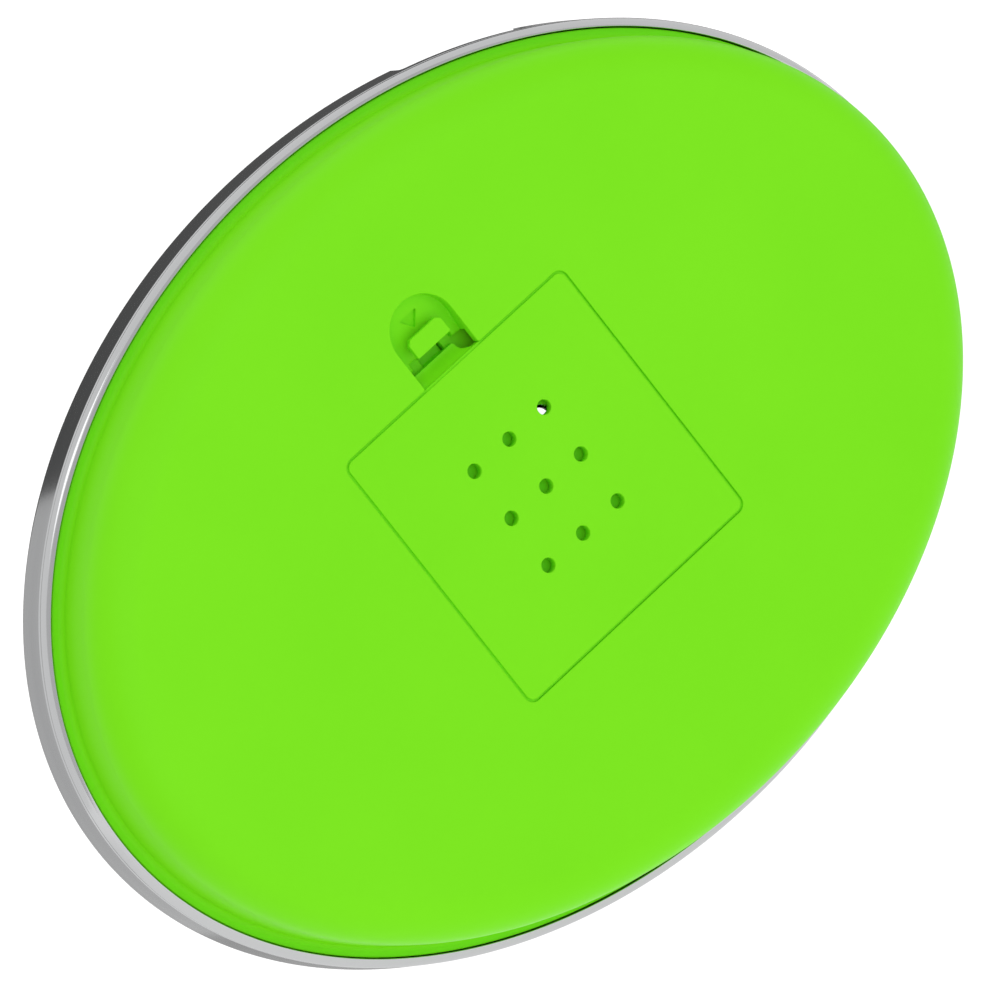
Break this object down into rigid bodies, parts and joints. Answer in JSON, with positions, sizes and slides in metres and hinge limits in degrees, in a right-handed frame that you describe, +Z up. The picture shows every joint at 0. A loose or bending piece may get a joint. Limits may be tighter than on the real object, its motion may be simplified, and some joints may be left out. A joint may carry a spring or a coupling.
{
  "type": "hanging wasp trap",
  "caption": "Flat oval hanging wasp trap: lime shell with a latched bait hatch, steel rim, clear funnel window and wire hanger.",
  "frame": {"origin": "centre of the trap's bounding box, midway between the flat lime rear face and the hanger knuckle on the window side", "axes": "+X along the long axis of the oval, +Y from the lime rear face towards the clear window, +Z up, with the hatch's latch above the hatch"},
  "size_m": [0.2182, 0.0358, 0.1626],
  "materials": {
    "lime_plastic": "satin moulded lime green",
    "black_plastic": "fine matt black",
    "seal_rubber": "dark soft seal",
    "polished_steel": "polished stainless steel",
    "screw_steel": "plated screw steel",
    "clear_window": "clear moulded plastic",
    "lure_felt": "thick undyed felt"
  },
  "bodies": {
    "case": {"rear_shell": "lime_plastic", "seal_ring": "seal_rubber", "bait_grille": "black_plastic", "grille_screw_1": "screw_steel", "grille_screw_2": "screw_steel", "grille_screw_3": "screw_steel", "grille_screw_4": "screw_steel"},
    "cover": {"steel_bezel": "polished_steel", "cover_frame": "black_plastic", "clear_window": "clear_window", "entry_funnel_1": "lime_plastic", "entry_funnel_2": "lime_plastic", "entry_funnel_3": "lime_plastic", "entry_funnel_4": "lime_plastic", "window_screw_1": "screw_steel", "window_screw_2": "screw_steel", "window_screw_3": "screw_steel", "window_screw_4": "screw_steel", "window_screw_5": "screw_steel", "window_screw_6": "screw_steel", "hanger_bracket": "polished_steel", "bracket_rivet_1": "screw_steel", "bracket_rivet_2": "screw_steel"},
    "hanger": {"hanger_loop": "polished_steel"},
    "hatch": {"hatch_door": "lime_plastic", "lure_tray": "lime_plastic", "lure_pad": "lure_felt", "pad_retainer": "black_plastic"},
    "latch": {"latch_tab": "lime_plastic"}
  },
  "joints": [
    {"name": "cover_pull_off", "type": "slide", "parent": "case", "child": "cover", "axis": [0, 1, 0], "range_m": [0, 0.045]},
    {"name": "hanger_swing", "type": "hinge", "parent": "cover", "child": "hanger", "pos_m": [0, 0.01575, 0.0705], "axis": [1, 0, 0], "range_deg": [0, 180]},
    {"name": "hatch_hinge", "type": "hinge", "parent": "case", "child": "hatch", "pos_m": [0, -0.01695, -0.0289], "axis": [1, 0, 0], "range_deg": [0, 80]},
    {"name": "latch_flex", "type": "hinge", "parent": "hatch", "child": "latch", "pos_m": [0, -0.01055, 0.0342], "axis": [1, 0, 0], "range_deg": [0, 8], "stiffness_Nm_per_rad": 0.05}
  ]
}
